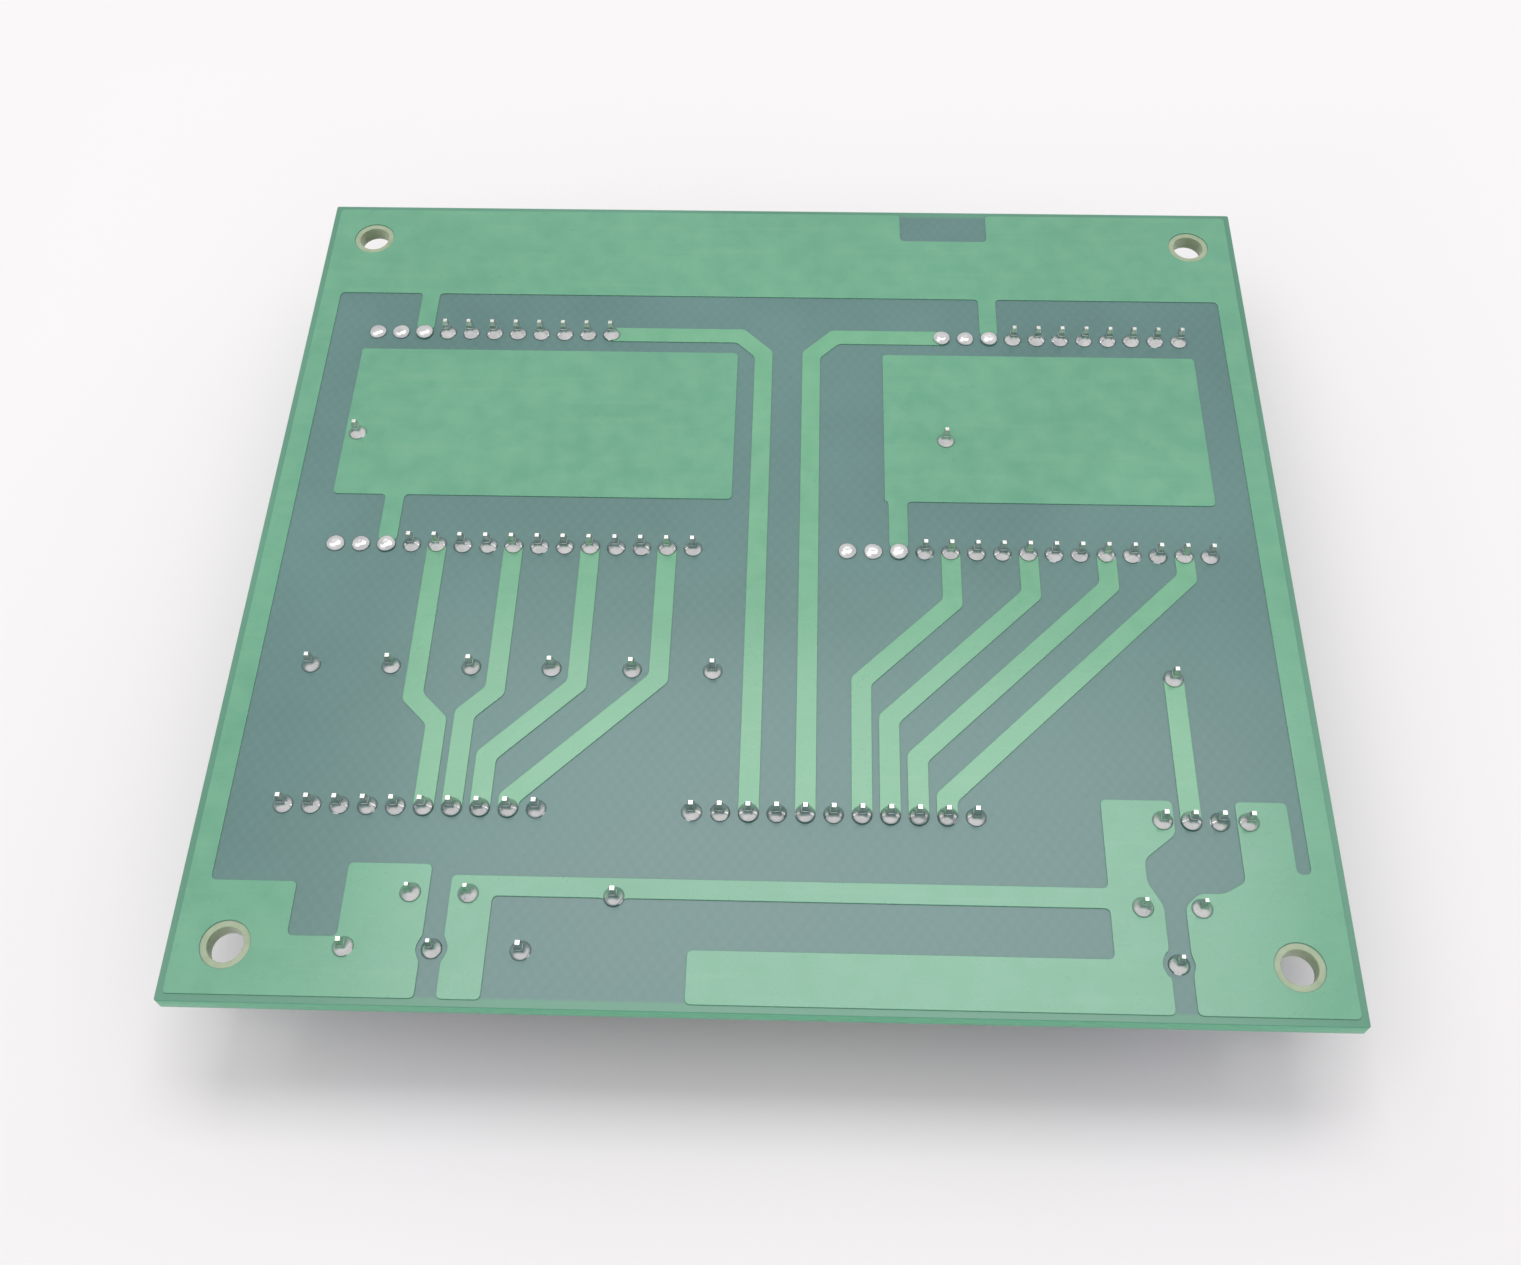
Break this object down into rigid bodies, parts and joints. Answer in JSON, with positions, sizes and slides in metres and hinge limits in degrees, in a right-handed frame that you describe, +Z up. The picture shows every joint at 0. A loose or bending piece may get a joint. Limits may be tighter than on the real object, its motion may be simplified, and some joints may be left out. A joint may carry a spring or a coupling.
{
  "type": "printed circuit board",
  "caption": "Green through-hole circuit board, solder side up: masked copper tracks and areas, rows of solder joints, corner mounting holes, and wire headers below.",
  "frame": {"origin": "on the table, below the middle of the board", "axes": "+X to the right along the board's width, +Y to its back edge, +Z up out of the solder side"},
  "size_m": [0.1016, 0.094, 0.0153],
  "materials": {
    "laminate": "satin",
    "masked_copper": "satin",
    "solder": "satin",
    "tinned_pin": "satin",
    "moulding": "matte",
    "trimmer_case": "satin",
    "trimmer_rotor": "matte"
  },
  "bodies": {
    "root": {"board": "laminate", "ground_copper": "masked_copper", "supply_copper": "masked_copper", "left_panel_copper": "masked_copper", "right_panel_copper": "masked_copper", "left_signal_tracks": "masked_copper", "right_signal_tracks": "masked_copper", "middle_tracks": "masked_copper", "post_track": "masked_copper", "header_joints": "solder", "post_joints": "solder", "trimmer_joints": "solder", "filled_holes": "solder", "back_left_header": "moulding", "back_left_pins": "tinned_pin", "back_right_header": "moulding", "back_right_pins": "tinned_pin", "middle_left_header": "moulding", "middle_left_pins": "tinned_pin", "middle_right_header": "moulding", "middle_right_pins": "tinned_pin", "front_left_header": "moulding", "front_left_pins": "tinned_pin", "front_middle_header": "moulding", "front_middle_pins": "tinned_pin", "front_right_header": "moulding", "front_right_pins": "tinned_pin", "post_blocks": "moulding", "post_pins": "tinned_pin", "left_trimmer_body": "trimmer_case", "left_trimmer_rotor": "trimmer_rotor", "left_trimmer_leads": "tinned_pin", "right_trimmer_body": "trimmer_case", "right_trimmer_rotor": "trimmer_rotor", "right_trimmer_leads": "tinned_pin"}
  },
  "joints": []
}
